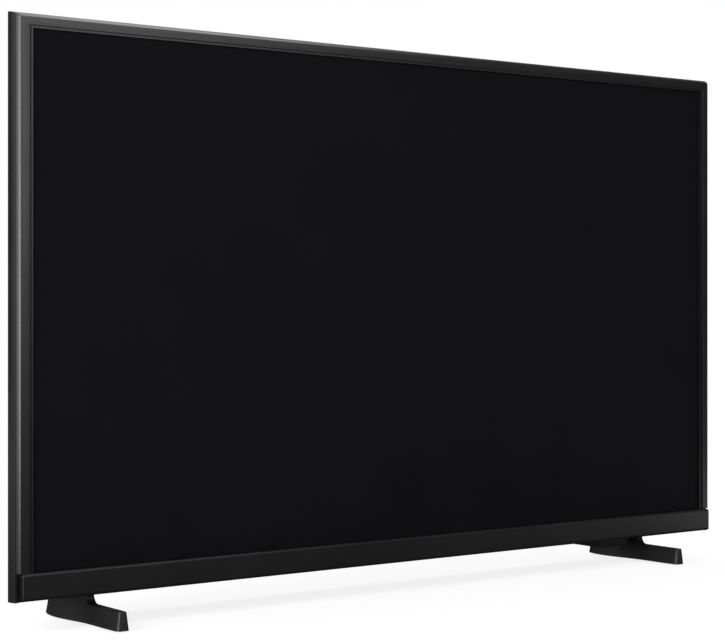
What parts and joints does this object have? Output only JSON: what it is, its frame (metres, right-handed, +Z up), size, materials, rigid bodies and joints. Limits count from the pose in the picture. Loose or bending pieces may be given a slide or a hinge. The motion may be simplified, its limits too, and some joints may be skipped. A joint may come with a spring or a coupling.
{
  "type": "flat screen television",
  "caption": "Flat screen television on two slim feet, with a thin bezel, a bottom bar, a hanging receiver module and a stepped rear cover with connector bays and wall mount holes.",
  "frame": {"origin": "centre of the bounding box in plan, on the ground under the feet", "axes": "+X to the right seen from the front, +Y from the screen towards the rear, +Z up; the screen faces -Y"},
  "size_m": [0.9788, 0.1511, 0.6064],
  "materials": {
    "bezel_plastic": "brushed black plastic, fine horizontal grain",
    "bar_plastic": "smooth black plastic, low sheen",
    "cover_plastic": "fine spark-eroded black moulding",
    "foot_plastic": "smooth black plastic, low sheen",
    "screen_glass": "black panel with an anti-glare film",
    "module_plastic": "smooth black plastic",
    "window_plastic": "smoky infrared window, bare",
    "button_plastic": "polished black cap",
    "pad_rubber": "matt rubber",
    "foam": "black foam",
    "tray_steel": "galvanised sheet",
    "bracket_steel": "galvanised sheet",
    "screw_steel": "black oxide",
    "boss_brass": "turned",
    "board_laminate": "green solder resist",
    "power_laminate": "tan paper laminate",
    "socket_steel": "tin plate",
    "socket_plastic": "black moulding",
    "sink_aluminium": "extruded, plain",
    "white_sheet": "white polyester sheet",
    "optical_sheet": "translucent film",
    "lens_plastic": "clear acrylic, drawn opaque here",
    "frame_plastic": "black moulding",
    "film_amber": "amber film",
    "cable_white": "flat cable",
    "loom_plastic": "wire bundle in black sleeve",
    "ferrite": "ferrite core and yellow tape",
    "can_aluminium": "sleeved can",
    "speaker_plastic": "black moulding",
    "speaker_steel": "black steel basket",
    "cone_paper": "paper cone"
  },
  "bodies": {
    "television": {"ac_inlet": "socket_plastic", "aerial_socket": "socket_steel", "board_screws": "screw_steel", "bottom_bar": "bar_plastic", "bracket_screws": "screw_steel", "button_switch": "socket_plastic", "capacitors": "can_aluminium", "chassis_plate": "tray_steel", "cover_screws": "screw_steel", "diffuser_plate": "optical_sheet", "diffuser_sheet": "optical_sheet", "flex_films": "film_amber", "foot_pads": "pad_rubber", "foot_screws": "screw_steel", "front_bezel": "bezel_plastic", "hdmi_sockets": "socket_steel", "headphone_jack": "socket_plastic", "heatsink": "sink_aluminium", "lan_socket": "socket_steel", "lcd_panel": "screen_glass", "led_lenses": "lens_plastic", "led_strips": "sink_aluminium", "left_foot": "foot_plastic", "left_speaker_box": "speaker_plastic", "left_speaker_driver": "speaker_steel", "left_stand_bracket": "bracket_steel", "main_board": "board_laminate", "middle_frame": "frame_plastic", "optical_socket": "socket_plastic", "panel_cable": "cable_white", "panel_gasket": "foam", "power_board": "power_laminate", "prism_sheet": "optical_sheet", "radio_module": "board_laminate", "rear_cover": "cover_plastic", "receiver_board": "board_laminate", "receiver_housing": "module_plastic", "receiver_window": "window_plastic", "reflector_sheet": "white_sheet", "right_foot": "foot_plastic", "right_speaker_box": "speaker_plastic", "right_speaker_driver": "speaker_steel", "right_stand_bracket": "bracket_steel", "source_boards": "board_laminate", "transformer": "ferrite", "usb_sockets": "socket_steel", "wall_mount_bosses": "boss_brass", "wire_loom": "loom_plastic"},
    "button": {"control_button": "button_plastic"},
    "left_cone": {"left_speaker_cone": "cone_paper"},
    "right_cone": {"right_speaker_cone": "cone_paper"}
  },
  "joints": [
    {"name": "button_press", "type": "slide", "parent": "television", "child": "button", "axis": [0, 0, 1], "range_m": [0, 0.0006], "stiffness_N_per_m": 1500},
    {"name": "left_cone_travel", "type": "slide", "parent": "television", "child": "left_cone", "axis": [0, 0, 1], "range_m": [-0.0008, 0.0008], "stiffness_N_per_m": 800},
    {"name": "right_cone_travel", "type": "slide", "parent": "television", "child": "right_cone", "axis": [0, 0, 1], "range_m": [-0.0008, 0.0008], "stiffness_N_per_m": 800}
  ]
}
